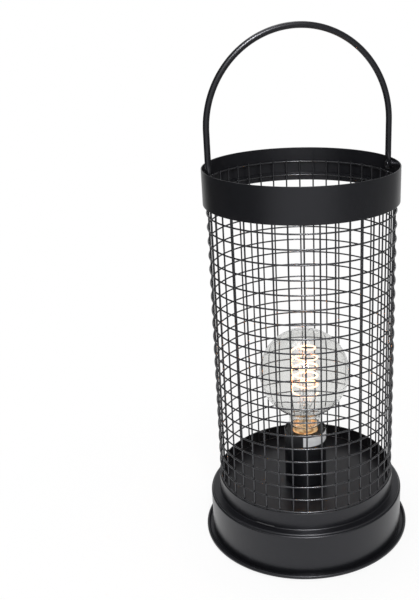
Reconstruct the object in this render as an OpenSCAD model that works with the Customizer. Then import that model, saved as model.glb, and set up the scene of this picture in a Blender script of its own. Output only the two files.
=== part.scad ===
// Lantern table lamp: a welded-wire cage between a spun steel base and a rolled band,
// with a swinging bail handle and a globe bulb that screws into its holder.
// Millimetres, +Z up. The origin is the middle of the underside, where the feet stand.

/* [Base] */
// Width of the shoulder, from the collar to the drum wall
shoulder_w = 9.9; // [7:0.1:14]
// Height of the drum from the tray floor to the flat of its shoulder
drum_h = 46.8; // [36:0.2:60]
// Radius of the two rounded edges round the shoulder
edge_r = 1.2; // [0.6:0.1:1.2]
// How far the shoulder's rim stands in from the drum wall
step_in = 1.6; // [1.3:0.1:2.4]
// Height of the shoulder's rim over the drum wall
step_h = 1.8; // [1.3:0.1:2.6]
// Radius of the hollow between the shoulder and the collar
cove_r = 0.8; // [0.6:0.1:4]
// Height of the collar above the shoulder
collar_h = 19; // [16:0.2:30]
// Wall of the spun base shell
shell_t = 1; // [0.8:0.1:1.4]
// Depth of the floor below the edge of the collar
floor_drop = 14.4; // [12:0.1:16]
// Sheet of the floor plate
floor_t = 1.2; // [0.8:0.1:2]
// Height of the floor plate's turned-down edge
floor_edge = 4.6; // [3:0.1:6]

/* [Tray] */
// How far the tray's rolled lip stands out past the drum wall
tray_over = 6.9; // [6:0.1:12]
// Sheet of the tray
tray_t = 1.2; // [0.8:0.1:1.6]
// Width of the rolled lip
lip_w = 3.2; // [2.4:0.1:3.6]
// Height of the lip over the underside of the tray
lip_h = 4; // [3.6:0.1:6]
// How far the feet stand below the tray
foot_proud = 1; // [0.6:0.1:3]
// Diameter of a foot
foot_d = 14; // [8:0.5:20]
// Distance of a foot's middle from the edge of the tray
foot_in = 14.2; // [10.5:0.1:24]

/* [Tray screws] */
// Distance of a screw from the inside of the drum wall
screw_in = 11.5; // [10:0.5:18]
// Diameter of a screw's thread
screw_d = 3.5; // [3:0.1:4]
// Length of a screw under its head
screw_len = 9; // [8:0.5:14]
// Diameter of a screw's head
screw_head_d = 7; // [6:0.1:8]
// Thickness of a screw's head
screw_head_h = 1.6; // [1.2:0.1:1.8]
// Width of a fixing tab
tab_w = 14; // [11:0.5:20]
// Sheet of a fixing tab
tab_t = 1.5; // [1.2:0.1:2]
// Height of the leg of a tab that is welded to the drum
tab_leg = 12; // [8:0.5:18]

/* [Cord entry] */
// Height of the cord entry over the tray floor
entry_z = 14; // [13:0.5:22]
// Diameter of the bore that takes the cord
entry_d = 6.4; // [5:0.1:7.4]
// Diameter of the hole in the drum wall
entry_hole_d = 10; // [9:0.1:12]
// Diameter of the bushing's flanges
entry_flange_d = 15; // [13:0.1:17]
// Thickness of each flange of the bushing
entry_flange_t = 1.8; // [1.2:0.1:2.5]

/* [Cage] */
// Diameter of the cage over its hoops
cage_d = 187.1; // [182:0.1:192]
// Diameter of the cage wire
wire_d = 1.6; // [1.2:0.1:2]
// Distance between two hoops
hoop_step = 14.4; // [12:0.1:18]
// Number of hoops, with the one that lies on the floor
hoops = 24; // [21:1:27]
// Number of upright wires
uprights = 40; // [24:1:48]
// Angle of the first upright from the front
upright_angle = 1; // [0:0.5:4]
// How far the uprights reach past the top hoop
wire_over = 2.4; // [0.8:0.1:6]
// How deep a weld sinks one piece into the next
weld_sink = 0.15; // [0.05:0.01:0.2]

/* [Top band] */
// Height of the top band
band_h = 34.5; // [24:0.5:50]
// Sheet of the top band
band_t = 1; // [0.8:0.1:1.4]
// How far the band stands off the hoops, where only its hem reaches them
band_off = 1.8; // [0.8:0.1:2.6]
// How far the hem reaches over the hoop that it is welded to
hem_over = 1.5; // [1:0.1:4]
// How far the band rises over the top hoop
band_over = 14.4; // [12:0.1:24]

/* [Handle] */
// Diameter of the handle rod
rod_d = 6; // [5:0.1:6.4]
// Gap between the upright rod and the inside of the band
rod_gap = 1.2; // [0.8:0.1:2]
// Length of each straight leg above its pivot pin
leg_len = 43; // [30:1:70]
// Thickness of the flattened end of the rod
eye_t = 3; // [2.4:0.1:3.6]
// Width of the flattened end of the rod
eye_w = 9; // [8:0.1:10]
// Height above the pin at which the rod is round again
eye_h = 13; // [10:0.5:18]
// Depth of the pin below the edge of the band
pin_drop = 6; // [5.8:0.1:8]
// Diameter of the pivot pin
pin_d = 3.6; // [3:0.1:4]
// Running clearance round the pivot pin
pin_clear = 0.08; // [0.05:0.01:0.1]
// Diameter of the pin's head and of the spacer
pin_head_d = 7; // [6:0.1:8]
// Thickness of the pin's head
pin_head_h = 1.2; // [0.8:0.1:1.6]
// Play between the flattened end and the pieces beside it
eye_play = 0.1; // [0.05:0.01:0.3]
// Angle of the handle's plane from the width of the lamp
handle_angle = 18; // [0:1:45]

/* [Holder] */
// Outer diameter of the holder's cup
cup_d = 45; // [42:0.5:50]
// Height of the cup
cup_h = 61.4; // [58:0.2:66]
// Sheet of the cup
cup_t = 0.8; // [0.6:0.1:1.2]
// Depth of the insulating ring below the edge of the cup
ring_drop = 1; // [0.5:0.1:2]
// Thickness of the insulating ring at the mouth of the holder
ring_h = 5; // [3:0.5:8]
// Gap between the holder's body and the cup
body_gap = 2; // [1:0.1:3]
// Gap between the insulating ring and the cup
ring_gap = 0.3; // [0.2:0.1:0.5]
// Wall of the screw shell
screw_shell_t = 0.5; // [0.4:0.1:0.8]
// Clearance between the screw shell and the cap of the bulb
shell_clear = 0.3; // [0.3:0.05:0.4]
// Outer diameter of the threaded nipple
nipple_d = 10; // [8:0.5:10]
// Bore of the nipple
nipple_bore = 7; // [5:0.1:7.4]
// Length of the nipple
nipple_len = 22; // [20:0.5:30]
// Depth to which the nipple enters the holder's body
nipple_in = 11; // [8:0.5:14]
// Width of the nut across its flats
nut_w = 14; // [13:0.5:17]
// Height of the nut
nut_h = 3; // [2.5:0.1:5]
// Diameter of the washer over the nut
washer_d = 22; // [18:0.5:26]
// Thickness of the washer
washer_t = 1; // [0.8:0.1:1.6]

/* [Label] */
// Height of the blank label on the cup
label_h = 11; // [8:0.5:16]
// Depth of the label below the edge of the cup
label_drop = 1.2; // [0.6:0.1:6]
// Thickness of the label
label_t = 0.12; // [0.1:0.01:0.2]
// Angle at which the label starts, from the front
label_from = -6; // [-40:1:20]
// Angle over which the label reaches
label_sweep = 108; // [60:1:140]

/* [Bulb] */
// Diameter of the globe
globe_d = 95; // [80:0.5:110]
// Wall of the glass
glass_t = 0.8; // [0.6:0.1:1.2]
// Diameter of the neck of the glass
neck_d = 34.6; // [31:0.2:38]
// Height of the globe's centre over the edge of the cap
globe_rise = 60.2; // [58:0.2:72]
// Radius of the hollow between the neck and the globe
neck_fillet = 10; // [5:0.5:14]
// Diameter of the bulb's screw cap
cap_d = 26.4; // [26:0.1:27]
// Height of the metal side of the cap
cap_h = 20.5; // [19:0.1:22]
// Sheet of the cap
cap_t = 0.4; // [0.3:0.1:0.6]
// Height of the black insulator at the end of the cap
cap_end_h = 5; // [4:0.1:6]
// Diameter of the contact at the tip of the cap
tip_d = 9.5; // [8:0.1:11]
// Height of that contact
tip_h = 1.5; // [1:0.1:2.5]
// How far the edge of the cap stands over the edge of the cup
cap_over = 5; // [2:0.2:8]

/* [Filament] */
// Radius of the filament's turns
coil_r = 14; // [10:0.5:16]
// Radius to which the last turn closes at the top
coil_top_r = 5; // [3:0.5:8]
// Number of turns
coil_turns = 5.5; // [3.5:1:6.5]
// Height between two turns
coil_step = 10.4; // [6:0.1:11]
// Depth of the coil's lowest point below the globe's centre
coil_drop = 24.5; // [16:0.5:27]
// Thickness of the filament
filament_d = 1.1; // [0.8:0.1:1.4]
// Thickness of the lead and support wires
lead_d = 0.9; // [0.7:0.1:1.2]
// Thickness of the glass rod that carries the supports
rod_glass_d = 2.4; // [1.8:0.1:3.5]
// Diameter of the glass stem
stem_d = 12; // [10:0.5:15]
// Height of the stem over the edge of the cap
stem_h = 24; // [18:0.5:28]

/* [Hidden] */

// Colours
steel_black = [0.13, 0.13, 0.14];
cavity_black = [0.07, 0.07, 0.08];
rubber_black = [0.1, 0.1, 0.1];
zinc = [0.72, 0.73, 0.75];
brass = [0.85, 0.68, 0.38];
label_white = [0.9, 0.91, 0.92];
clear_glass = [0.85, 0.9, 0.92, 0.35];
glow = [1, 0.72, 0.3];

fine = 0.01;      // keeps two cutting faces from lying in one plane
through = 2;      // how far a cutting tool runs past what it cuts
side_n = 144;     // facets of the large round pieces
small_n = 48;     // facets of the small round pieces
feet = 4;         // feet under the tray, one node each
screws = 3;       // screws that hold the tray, one node each
front = -90;      // angle of the lamp's front from its right-hand side
first_foot = 45;  // angle of the first foot from the right
first_screw = 30; // angle of the first screw from the right
cup_round = 2;    // radius round the foot of the cup
bevel = 0.8;      // small bevels on moulded and turned edges
contact_t = 0.6;  // sheet of the centre contact
contact_w = 6;    // width of the centre contact
contact_room = 1; // how far the centre contact's ends stop short of the socket's wall
shell_gap = 2;    // how far the screw shell stops short of both ends of its socket
skirt_gap = 6;    // how far the foot of the stem lies below the end of the neck
cement = 0.3;     // gap between the glass and the cap that the cement fills
flare_r = 3;      // radius where the neck widens over the cap
flare_from = -60; // angle at which that widening starts
cap_bevel = 1;    // bevel round the lower end of the cap
end_grip = 2;     // how far the insulator rises inside the cap
recess_w = 1;     // width of a screw's cross recess
recess_h = 0.8;   // depth of that recess
head_drop = 0.2;  // how far a screw head lies inside its dimple
head_room = 0.5;  // gap round a screw head in its dimple
coil_n = 24;      // points of the filament in one turn

// Heights
tray_z = foot_proud;
tray_top = tray_z + tray_t;
shoulder_z = tray_top + drum_h;
collar_top = shoulder_z + collar_h;
floor_top = collar_top - floor_drop;
hoop_z0 = floor_top + wire_d / 2;
hoop_top = hoop_z0 + (hoops - 1) * hoop_step;
band_top = hoop_top + band_over;
hem_hoop = hoop_top - floor((band_h - band_over) / hoop_step) * hoop_step;
hem_top = hem_hoop + wire_d / 2 + hem_over;
pin_z = band_top - pin_drop;
cup_top = floor_top + cup_h;
cap_top = cup_top + cap_over;
cap_low = cap_top - cap_h;
tip_z = cap_low - cap_end_h - tip_h;
globe_z = cap_top + globe_rise;

// Radii
cage_r = cage_d / 2;
hoop_r = cage_r - wire_d / 2;
upright_r = hoop_r - wire_d + weld_sink;
shell_in = cage_r - weld_sink;
collar_r = shell_in + shell_t;
drum_r = collar_r + shoulder_w;
drum_in = drum_r - shell_t;
tray_r = drum_r + tray_over;
foot_ring = tray_r - foot_in;
screw_ring = drum_in - screw_in;
band_in = shell_in + band_off;
band_r = band_in + band_t;
rod_r = band_in - rod_gap - rod_d / 2;
cup_r = cup_d / 2;
cap_r = cap_d / 2;
screw_shell_in = cap_r + shell_clear;
screw_shell_r = screw_shell_in + screw_shell_t;
globe_r = globe_d / 2;
neck_r = neck_d / 2;
dimple_h = screw_head_h + head_drop;
dimple_d = screw_head_d + 2 * head_room;
eye_out = rod_r + eye_t / 2;
eye_in = rod_r - eye_t / 2;
pin_out = sqrt(pow(band_r, 2) - pow(pin_d / 2, 2));
spacer_out = sqrt(pow(band_in, 2) - pow(pin_head_d / 2, 2));
body_low = floor_top + cup_t;
ring_top = cup_top - ring_drop;
socket_low = tip_z - contact_t;

// Shape of the glass and the stem
fillet_x = neck_r + neck_fillet;
fillet_z = globe_z - sqrt(pow(globe_r + neck_fillet, 2) - pow(fillet_x, 2));
join_angle = atan2(fillet_z - globe_z, fillet_x);
throat_r = cap_r - cap_t - cement;
throat_low = cap_top - cap_h / 2;
flare_z = cap_top + flare_r;
stem_r = stem_d / 2;
stem_top = cap_top + stem_h;
stem_foot = throat_low - skirt_gap;
skirt_r = cap_r - cap_t;
coil_low = globe_z - coil_drop;
coil_high = coil_low + coil_turns * coil_step;

// Points of an arc about [x, y] from angle a to angle b; from = 1 leaves out the first point
function arc(x, y, r, a, b, n = 8, from = 0) =
  [for (i = [from:n]) let (t = a + (b - a) * i / n) [x + r * cos(t), y + r * sin(t)]];
function reversed(p) = [for (i = [len(p) - 1:-1:0]) p[i]];

// Turns what follows about Z, counter-clockwise from above
module round_z(angle) { rotate([0, 0, angle]) children(); }

// ---- Base ----

// The spun shell: collar, cove, stepped shoulder and drum wall in one sheet
module base_shell() {
  cove_x = collar_r + cove_r;
  cove_z = shoulder_z + cove_r;
  rim_r = drum_r - step_in;
  step_z = shoulder_z - step_h;
  outside = concat(
    [[drum_r, tray_top]],
    arc(drum_r - edge_r, step_z - edge_r, edge_r, 0, 90, 6),
    [[rim_r, step_z]],
    arc(rim_r - edge_r, shoulder_z - edge_r, edge_r, 0, 90, 6),
    arc(cove_x, cove_z, cove_r, 270, 180),
    arc(collar_r - shell_t / 2, collar_top - shell_t / 2, shell_t / 2, 0, 180));
  inside = concat(
    arc(cove_x, cove_z, cove_r + shell_t, 180, 270),
    [[rim_r - edge_r - shell_t / 2, shoulder_z - shell_t]],
    [[drum_in, step_z - edge_r - shell_t / 2], [drum_in, tray_top]]);
  color(steel_black)
    difference() {
      rotate_extrude($fn = side_n) polygon(concat(outside, inside));
      entry_axis() cylinder(h = drum_r + through, d = entry_hole_d, $fn = small_n);
    }
}

// The recessed floor inside the collar, with its edge turned down
module floor_plate() {
  color(steel_black)
    translate([0, 0, floor_top])
      rotate_extrude($fn = side_n)
        polygon([
          [nipple_d / 2, 0], [shell_in, 0], [shell_in, -floor_edge], [shell_in - floor_t, -floor_edge],
          [shell_in - floor_t, -floor_t], [nipple_d / 2, -floor_t]]);
}

// The tray that closes the drum, with a rolled lip and a dimple for each screw head
module bottom_tray() {
  lip_r = lip_w / 2;
  lip_x = tray_r - lip_r;
  lip_z = tray_z + lip_h - lip_r;
  color(steel_black)
    difference() {
      union() {
        rotate_extrude($fn = side_n)
          polygon(concat(
            [[0, tray_z], [tray_r - tray_t, tray_z], [tray_r, tray_z + tray_t]],
            arc(lip_x, lip_z, lip_r, 0, 180, 12),
            [[tray_r - lip_w, tray_top], [0, tray_top]]));
        at_screws() cylinder(h = dimple_h + tray_t, d = dimple_d + 2 * tray_t, $fn = small_n);
      }
      at_screws() {
        translate([0, 0, -through]) cylinder(h = dimple_h + through, d = dimple_d, $fn = small_n);
        cylinder(h = screw_len, d = screw_d, $fn = small_n);
      }
    }
}

// Puts what follows on the underside of the tray at each screw
module at_screws() { for (i = [0:screws - 1]) at_screw(i) children(); }
module at_screw(i) {
  round_z(first_screw + i * 360 / screws)
    translate([screw_ring, 0, tray_z]) children();
}

// One of the feet under the tray
module foot(i) {
  color(rubber_black)
    round_z(first_foot + i * 360 / feet)
      translate([foot_ring, 0, 0]) cylinder(h = foot_proud, d = foot_d, $fn = small_n);
}

// The bent tab inside the drum that a tray screw threads into
module fixing_tab(i) {
  tab_z = dimple_h + tray_t;
  color(zinc)
    intersection() {
      at_screw(i)
        difference() {
          union() {
            translate([-tab_w / 2, -tab_w / 2, tab_z]) cube([tab_w / 2 + screw_in, tab_w, tab_t]);
            translate([screw_in - 2 * tab_t, -tab_w / 2, tab_z]) cube([2 * tab_t, tab_w, tab_leg]);
          }
          cylinder(h = screw_len + tab_leg, d = screw_d, $fn = small_n);
        }
      cylinder(h = shoulder_z, r = drum_in, $fn = side_n);
    }
}

// A pan-head screw that holds the tray
module tray_screw(i) {
  color(zinc)
    at_screw(i)
      translate([0, 0, dimple_h]) {
        difference() {
          translate([0, 0, -screw_head_h]) cylinder(h = screw_head_h, d = screw_head_d, $fn = small_n);
          for (a = [0, 90])
            round_z(a)
              translate([-screw_d / 2, -recess_w / 2, -screw_head_h - fine])
                cube([screw_d, recess_w, recess_h]);
        }
        cylinder(h = screw_len, d = screw_d, $fn = small_n);
      }
}

// The axis of the cord entry, out through the back of the drum
module entry_axis() { translate([0, 0, tray_top + entry_z]) rotate([-90, 0, 0]) children(); }

// The bushing that lines the cord entry, its flanges fitted to the curve of the wall
module cord_bushing() {
  color(rubber_black)
    difference() {
      intersection() {
        entry_axis()
          rotate_extrude($fn = small_n)
            polygon([
              [entry_d / 2, 0], [entry_flange_d / 2, 0], [entry_flange_d / 2, drum_r + entry_flange_t],
              [entry_d / 2, drum_r + entry_flange_t]]);
        difference() {
          cylinder(h = shoulder_z, r = drum_r + entry_flange_t, $fn = side_n);
          cylinder(h = shoulder_z, r = drum_in - entry_flange_t, $fn = side_n);
        }
      }
      difference() {
        cylinder(h = shoulder_z, r = drum_r, $fn = side_n);
        cylinder(h = shoulder_z, r = drum_in, $fn = side_n);
        entry_axis() cylinder(h = drum_r + through, d = entry_hole_d, $fn = small_n);
      }
    }
}

// ---- Cage ----

// The hoops, one closed ring of wire at each level
module cage_hoops() {
  color(steel_black)
    for (i = [0:hoops - 1])
      translate([0, 0, hoop_z0 + i * hoop_step])
        rotate_extrude($fn = side_n) translate([hoop_r, 0]) circle(d = wire_d, $fn = 12);
}

// The upright wires, welded to the inside of every hoop
module cage_uprights() {
  color(steel_black)
    for (i = [0:uprights - 1])
      round_z(front + upright_angle + i * 360 / uprights)
        translate([upright_r, 0, floor_top])
          cylinder(h = hoop_top + wire_over - floor_top, d = wire_d, $fn = 16);
}

// The rolled band round the top of the cage, with a hem inside its lower edge that is welded
// to a hoop, and drilled for the two pivot pins
module top_band() {
  edge = band_t / 2;
  band_low = band_top - band_h;
  color(steel_black)
    difference() {
      rotate_extrude($fn = side_n)
        polygon(concat(
          [[shell_in, band_low], [band_r, band_low]],
          arc(band_in + edge, band_top - edge, edge, 0, 180, 8),
          [[band_in, hem_top], [shell_in, hem_top]]));
      handle_frame() translate([0, 0, -cage_d]) cylinder(h = 2 * cage_d, d = pin_d, $fn = small_n);
    }
}

// ---- Handle ----

// The pivot axis as the local Z axis, pointing to the right-hand pin
module handle_frame() { round_z(handle_angle) translate([0, 0, pin_z]) rotate([0, 90, 0]) children(); }

// Turns what follows to the other end of the pivot axis when side is -1
module mirror_to(side) { round_z(side > 0 ? 0 : 180) children(); }

// A pivot pin, flush in the band, with its head inside the flattened end of the rod
module pivot_pin(side) {
  head_face = eye_in - eye_play;
  color(zinc)
    mirror_to(side)
      handle_frame() {
        translate([0, 0, head_face]) cylinder(h = pin_out - head_face, d = pin_d, $fn = small_n);
        translate([0, 0, head_face - pin_head_h]) cylinder(h = pin_head_h, d = pin_head_d, $fn = small_n);
      }
}

// The spacer that keeps the handle off the band
module spacer(side) {
  spacer_in = eye_out + eye_play;
  color(zinc)
    mirror_to(side)
      handle_frame()
        translate([0, 0, spacer_in])
          difference() {
            cylinder(h = spacer_out - spacer_in, d = pin_head_d, $fn = small_n);
            translate([0, 0, -through]) cylinder(h = band_r, d = pin_d, $fn = small_n);
          }
}

// The bail: a rod bent to a half circle, with straight legs and flattened, pierced ends
module handle_bail() {
  color(steel_black)
    difference() {
      round_z(handle_angle) {
        translate([0, 0, pin_z + leg_len])
          rotate([90, 0, 0])
            rotate_extrude(angle = 180, $fn = side_n)
              translate([rod_r, 0]) circle(d = rod_d, $fn = small_n);
        for (side = [-1, 1]) translate([side * rod_r, 0, pin_z]) bail_leg();
      }
      handle_frame()
        translate([0, 0, -cage_d]) cylinder(h = 2 * cage_d, d = pin_d + 2 * pin_clear, $fn = small_n);
    }
}

// One leg of the bail, pressed flat where the pin goes through
module bail_leg() {
  translate([0, 0, eye_h]) cylinder(h = leg_len - eye_h, d = rod_d, $fn = small_n);
  rotate([0, 90, 0]) translate([0, 0, -eye_t / 2]) cylinder(h = eye_t, d = eye_w, $fn = small_n);
  translate([-eye_t / 2, -eye_w / 2, 0]) cube([eye_t, eye_w, eye_w / 2]);
  hull() {
    translate([-eye_t / 2, -eye_w / 2, eye_w / 2 - fine]) cube([eye_t, eye_w, fine]);
    translate([0, 0, eye_h]) cylinder(h = fine, d = rod_d, $fn = 32);
  }
}

// ---- Holder ----

// The sheet cup round the holder
module holder_cup() {
  color(steel_black)
    rotate_extrude($fn = 96)
      polygon(concat(
        [[nipple_d / 2, floor_top]],
        arc(cup_r - cup_round, floor_top + cup_round, cup_round, 270, 360, 6),
        arc(cup_r - cup_t / 2, cup_top - cup_t / 2, cup_t / 2, 0, 180, 6),
        arc(cup_r - cup_round, floor_top + cup_round, cup_round - cup_t, 360, 270, 6),
        [[nipple_d / 2, body_low]]));
}

// The moulded insulator: a stepped body with the socket for the screw shell
module holder_body() {
  body_r = cup_r - cup_t - body_gap;
  ring_r = cup_r - cup_t - ring_gap;
  color(cavity_black)
    rotate_extrude($fn = 96)
      polygon([
        [nipple_bore / 2, body_low + nipple_in], [nipple_d / 2, body_low + nipple_in],
        [nipple_d / 2, body_low], [body_r, body_low], [body_r, ring_top - ring_h],
        [ring_r, ring_top - ring_h], [ring_r, ring_top - bevel], [ring_r - bevel, ring_top],
        [screw_shell_r + bevel, ring_top], [screw_shell_r, ring_top - bevel],
        [screw_shell_r, socket_low], [nipple_bore / 2, socket_low]]);
}

// The metal shell that the cap of the bulb screws into
module screw_shell() {
  low = tip_z + shell_gap;
  color(brass)
    translate([0, 0, low])
      difference() {
        cylinder(h = ring_top - shell_gap - low, r = screw_shell_r, $fn = 96);
        translate([0, 0, -through]) cylinder(h = cup_h, r = screw_shell_in, $fn = 96);
      }
}

// The spring strip that the tip of the bulb presses on
module centre_contact() {
  half = screw_shell_r - contact_room;
  color(brass)
    translate([0, 0, socket_low])
      intersection() {
        translate([-half, -contact_w / 2, 0]) cube([2 * half, contact_w, contact_t]);
        cylinder(h = contact_t, r = half, $fn = 96);
      }
}

// The threaded tube that joins the holder, its cup and the floor
module nipple() {
  color(zinc)
    translate([0, 0, body_low + nipple_in - nipple_len])
      difference() {
        cylinder(h = nipple_len, d = nipple_d, $fn = small_n);
        translate([0, 0, -through]) cylinder(h = nipple_len + 2 * through, d = nipple_bore, $fn = small_n);
      }
}

// The washer under the floor
module nipple_washer() {
  color(zinc)
    translate([0, 0, floor_top - floor_t - washer_t])
      difference() {
        cylinder(h = washer_t, d = washer_d, $fn = small_n);
        translate([0, 0, -through]) cylinder(h = washer_t + 2 * through, d = nipple_d, $fn = small_n);
      }
}

// The nut that draws the holder down on the floor
module nipple_nut() {
  color(zinc)
    translate([0, 0, floor_top - floor_t - washer_t - nut_h])
      difference() {
        cylinder(h = nut_h, d = nut_w / cos(30), $fn = 6);
        translate([0, 0, -through]) cylinder(h = nut_h + 2 * through, d = nipple_d, $fn = small_n);
      }
}

// The blank label that wraps round the cup below its edge
module holder_label() {
  color(label_white)
    translate([0, 0, cup_top - label_drop - label_h])
      round_z(front + label_from)
        rotate_extrude(angle = label_sweep, $fn = 96)
          translate([cup_r, 0]) square([label_t, label_h]);
}

// ---- Bulb ----

// Profile of the glass at the distance t in from its outer face
function glass_side(t) = concat(
  [[throat_r - t, throat_low], [throat_r - t, cap_top + t]],
  arc(neck_r - flare_r, flare_z, flare_r - t, flare_from, 0, 5),
  arc(fillet_x, fillet_z, neck_fillet + t, 180, 180 + join_angle, 10),
  arc(0, globe_z, globe_r - t, join_angle, 90, 56, 1));

// The blown glass globe with its neck, open at the bottom inside the cap
module bulb_glass() {
  color(clear_glass)
    rotate_extrude($fn = 96) polygon(concat(glass_side(0), reversed(glass_side(glass_t))));
}

// The metal side of the cap
module bulb_cap() {
  color(brass)
    rotate_extrude($fn = 96)
      polygon([
        [cap_r - cap_t, cap_low + cap_bevel], [cap_r - cap_bevel, cap_low], [cap_r, cap_low + cap_bevel],
        [cap_r, cap_top], [cap_r - cap_t, cap_top]]);
}

// The black glass end of the cap
module cap_insulator() {
  end_low = cap_low - cap_end_h;
  color(cavity_black)
    rotate_extrude($fn = small_n)
      polygon([
        [0, end_low], [tip_d / 2 + bevel, end_low], [cap_r - cap_bevel, cap_low],
        [cap_r - cap_t, cap_low + cap_bevel], [cap_r - cap_t, cap_low + end_grip],
        [0, cap_low + end_grip]]);
}

// The contact at the tip of the cap
module cap_contact() {
  color(zinc)
    translate([0, 0, tip_z])
      rotate_extrude($fn = small_n)
        polygon([[0, 0], [tip_d / 2 - bevel, 0], [tip_d / 2, bevel], [tip_d / 2, tip_h], [0, tip_h]]);
}

// Profile of the stem at the distance t in from its outer face
function stem_side(t) = concat(
  arc(skirt_r, stem_foot + skirt_r - stem_r, skirt_r - stem_r + t, 270, 180, 6),
  arc(0, stem_top - stem_r, stem_r - t, 0, 90));

// The glass stem, flared where the cap holds it, with the rod that carries the supports
module bulb_stem() {
  color(clear_glass) {
    rotate_extrude($fn = small_n) polygon(concat(stem_side(0), reversed(stem_side(glass_t))));
    translate([0, 0, stem_top - glass_t / 2])
      cylinder(h = coil_high - stem_top, d = rod_glass_d, $fn = 24);
  }
}

// A straight wire between two points
module wire(from, to, d) {
  run = to - from;
  translate(from)
    rotate([0, acos(run[2] / norm(run)), atan2(run[1], run[0])])
      cylinder(h = norm(run), d = d, $fn = 16);
}

// The two lead wires and the supports that hold the filament's turns
module lead_wires() {
  root_z = stem_top - stem_r;
  color(zinc) {
    wire([stem_r - lead_d, 0, root_z], [coil_r, 0, coil_low], lead_d);
    wire([-coil_top_r, 0, root_z], [-coil_top_r, 0, coil_high], lead_d);
    for (turn = [1:2:floor(coil_turns) - 1])
      wire([0, 0, coil_low + turn * coil_step], [coil_r, 0, coil_low + turn * coil_step], lead_d / 2);
  }
}

// The path of the filament: level turns that close in over the last one
function coil_at(i) =
  let (
    turn = i / coil_n,
    shut = max(0, turn - coil_turns + 1),
    r = coil_r + (coil_top_r - coil_r) * pow(shut, 2)
  )
  [r * cos(-360 * turn), r * sin(-360 * turn), coil_low + coil_step * turn];
coil_path = [for (i = [0:coil_turns * coil_n]) coil_at(i)];
echo(filament_least_gap = min([
  for (i = [0:len(coil_path) - 1], j = [i + coil_n / 2:len(coil_path) - 1])
    norm(coil_path[i] - coil_path[j])]) - filament_d);

// One unbroken tube along a list of points
module tube(path, d, sides) {
  last = len(path) - 1;
  rings = [
    for (i = [0:last])
      let (
        way = path[min(i + 1, last)] - path[max(i - 1, 0)],
        side = cross(way, [0, 0, 1]),
        u = side / norm(side),
        v = cross(u, way) / norm(way)
      )
      for (k = [0:sides - 1]) path[i] + d / 2 * (cos(k * 360 / sides) * u + sin(k * 360 / sides) * v)];
  walls = [
    for (i = [0:last - 1], k = [0:sides - 1])
      let (
        a = i * sides + k,
        b = i * sides + (k + 1) % sides
      )
      each [[a, b, a + sides], [b, b + sides, a + sides]]];
  end = last * sides;
  caps = [for (k = [1:sides - 2]) each [[0, k + 1, k], [end, end + k, end + k + 1]]];
  polyhedron(points = rings, faces = concat(walls, caps));
}

// The wound filament
module filament() { color(glow) tube(coil_path, filament_d, 6); }

base_shell();
floor_plate();
bottom_tray();
foot(0);  // foot_1
foot(1);  // foot_2
foot(2);  // foot_3
foot(3);  // foot_4
fixing_tab(0);  // fixing_tab_1
fixing_tab(1);  // fixing_tab_2
fixing_tab(2);  // fixing_tab_3
tray_screw(0);  // tray_screw_1
tray_screw(1);  // tray_screw_2
tray_screw(2);  // tray_screw_3
cord_bushing();
cage_hoops();
cage_uprights();
top_band();
pivot_pin(-1);  // pin_left
pivot_pin(1);  // pin_right
spacer(-1);  // spacer_left
spacer(1);  // spacer_right
handle_bail();
holder_cup();
holder_body();
screw_shell();
centre_contact();
nipple();
nipple_washer();
nipple_nut();
holder_label();
bulb_glass();
bulb_cap();
cap_insulator();
cap_contact();
bulb_stem();
lead_wires();
filament();
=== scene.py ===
"""Looks of a lantern table lamp: a wire cage on a spun base, a swinging handle and a lit globe bulb.

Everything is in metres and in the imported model's own frame: +Z up, the front of the lamp at -Y.
"""

import logging
import math
from collections.abc import Callable, Sequence
from dataclasses import dataclass, field
from enum import Enum
from functools import cache, reduce

import bpy
from mathutils import Matrix, Vector


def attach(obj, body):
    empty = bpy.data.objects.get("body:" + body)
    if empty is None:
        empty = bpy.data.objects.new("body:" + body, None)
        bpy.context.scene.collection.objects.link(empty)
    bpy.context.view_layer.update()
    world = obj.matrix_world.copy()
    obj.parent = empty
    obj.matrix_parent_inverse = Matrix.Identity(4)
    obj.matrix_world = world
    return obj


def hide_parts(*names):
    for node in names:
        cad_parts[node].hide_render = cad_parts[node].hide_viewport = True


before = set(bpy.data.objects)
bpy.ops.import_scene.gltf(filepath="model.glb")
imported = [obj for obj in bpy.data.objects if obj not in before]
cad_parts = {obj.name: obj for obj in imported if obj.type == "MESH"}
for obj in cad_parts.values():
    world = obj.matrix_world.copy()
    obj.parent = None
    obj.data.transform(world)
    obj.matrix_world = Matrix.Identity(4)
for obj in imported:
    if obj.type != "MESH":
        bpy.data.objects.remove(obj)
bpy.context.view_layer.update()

Pair = tuple[float, float]
Point = tuple[float, float, float]
Colour = tuple[float, float, float]
Rgba = tuple[float, float, float, float]
Settings = dict[str, object]
Inputs = dict[int | str, object]
Socket = bpy.types.NodeSocket
Shaded = bpy.types.Material | bpy.types.World

LOG = logging.getLogger("lamp")
MM = 0.001
WHITE: Colour = (1.0, 1.0, 1.0)
POLE = 1e-9  # a point of a profile with a smaller radius is a pole
TURN_ROWS = 12  # rows of faces in one turn of a thread
TINY = 1e-6  # keeps a length from being 0 where it divides
CLOUD_AND_GRAIN = (0.5, 0.5)  # their shares in the tone of a coating
GRAIN_CLOUD_AND_STREAK = (0.35, 0.25, 0.4)  # their shares in its roughness
GRAIN_AND_STREAK = (0.6, 0.4)  # their shares in its relief
FILM_CLOUD_AND_GRAIN = (0.7, 0.3)  # their shares in the relief of a film
IN_PLACE = Matrix.Identity(4)


# ---- Helpers ----


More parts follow.
